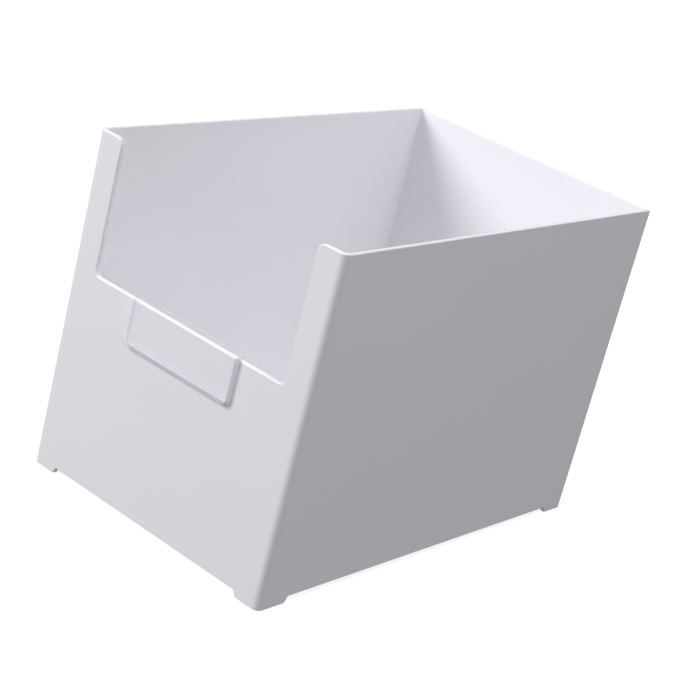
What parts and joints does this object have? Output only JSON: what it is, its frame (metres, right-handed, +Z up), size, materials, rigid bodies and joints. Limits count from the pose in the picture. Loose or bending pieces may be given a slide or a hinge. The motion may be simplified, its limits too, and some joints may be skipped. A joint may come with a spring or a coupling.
{
  "type": "open-front storage bin",
  "caption": "White open-top storage bin with a low front wall and window, corner feet and a clear clip-on label holder on the front lip.",
  "frame": {"origin": "middle of the whole footprint, label holder included, on the surface that the feet stand on", "axes": "+X to the right seen from the front, +Y towards the back wall, +Z up"},
  "size_m": [0.18, 0.2822, 0.1999],
  "materials": {
    "bin_plastic": "smooth satin, white",
    "clear_plastic": "clear, polished"
  },
  "bodies": {
    "bin": {"bin_body": "bin_plastic"},
    "holder": {"label_holder": "clear_plastic"}
  },
  "joints": [
    {"name": "label_slide", "type": "slide", "parent": "bin", "child": "holder", "axis": [1, 0, 0], "range_m": [-0.028, 0.028]}
  ]
}
